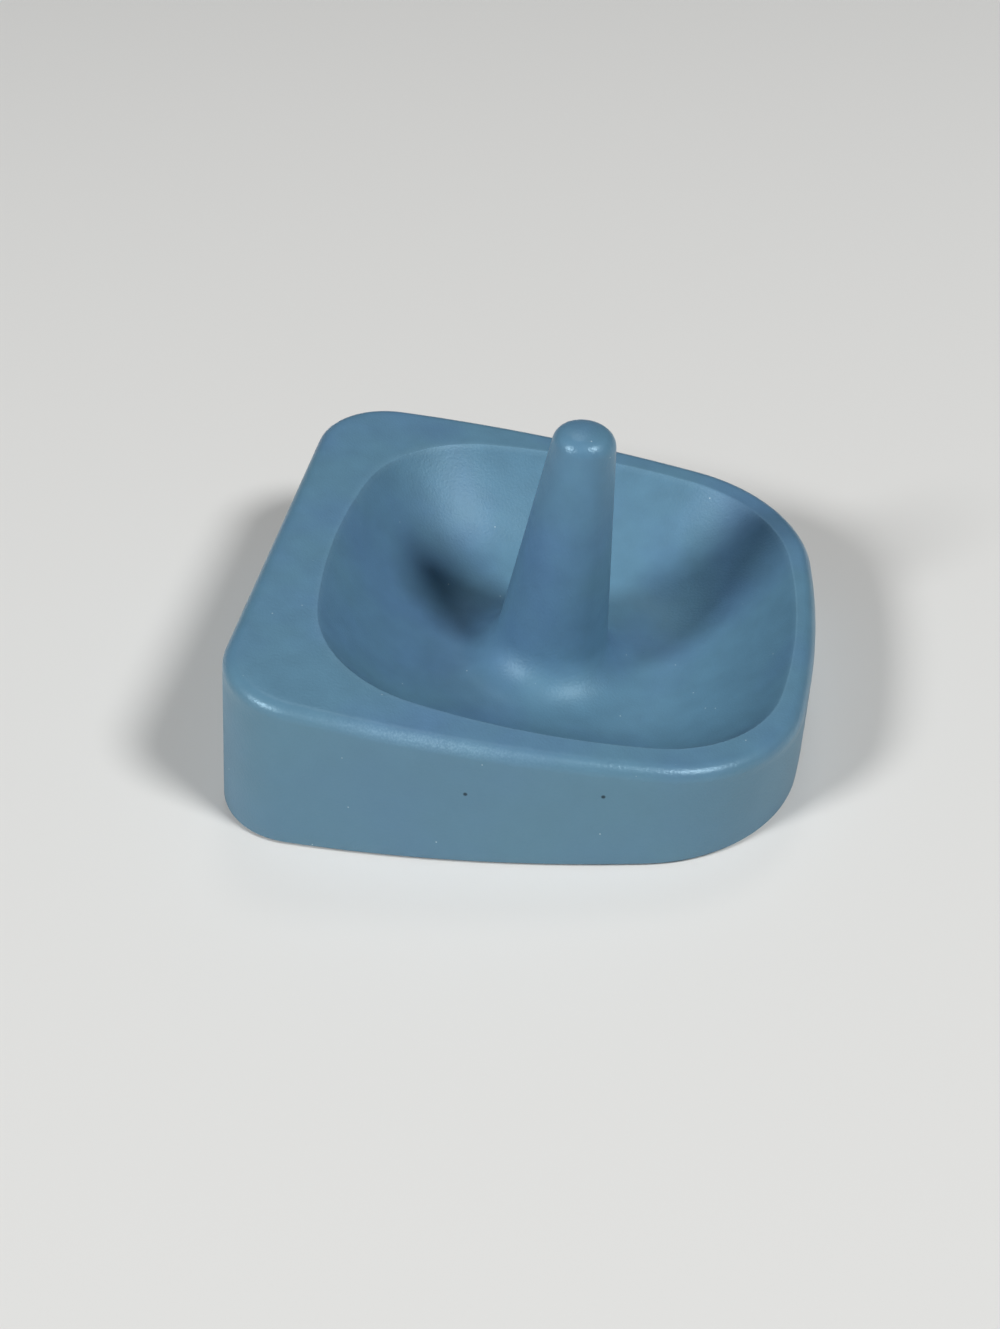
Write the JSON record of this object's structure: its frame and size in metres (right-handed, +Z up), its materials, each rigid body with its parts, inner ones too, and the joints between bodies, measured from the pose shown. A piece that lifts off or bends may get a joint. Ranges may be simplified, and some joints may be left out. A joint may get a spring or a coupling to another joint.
{
  "type": "ring dish",
  "caption": "Wedge-shaped ring dish: square bowl with bowed sides sunk in a sloping top, flat ledge at the high end, tapered post for rings, soft feet.",
  "frame": {"origin": "middle of the footprint, on the surface that the dish stands on", "axes": "+X from the high ledge end to the low bowl end, +Y to the back, +Z up; the post leans from +Z towards +X by the slope of the top"},
  "size_m": [0.1006, 0.0994, 0.0551],
  "materials": {
    "cast_resin": "satin",
    "silicone": "matte"
  },
  "bodies": {
    "root": {"dish": "cast_resin", "foot_ledge_front": "silicone", "foot_ledge_back": "silicone", "foot_bowl_front": "silicone", "foot_bowl_back": "silicone"}
  },
  "joints": []
}
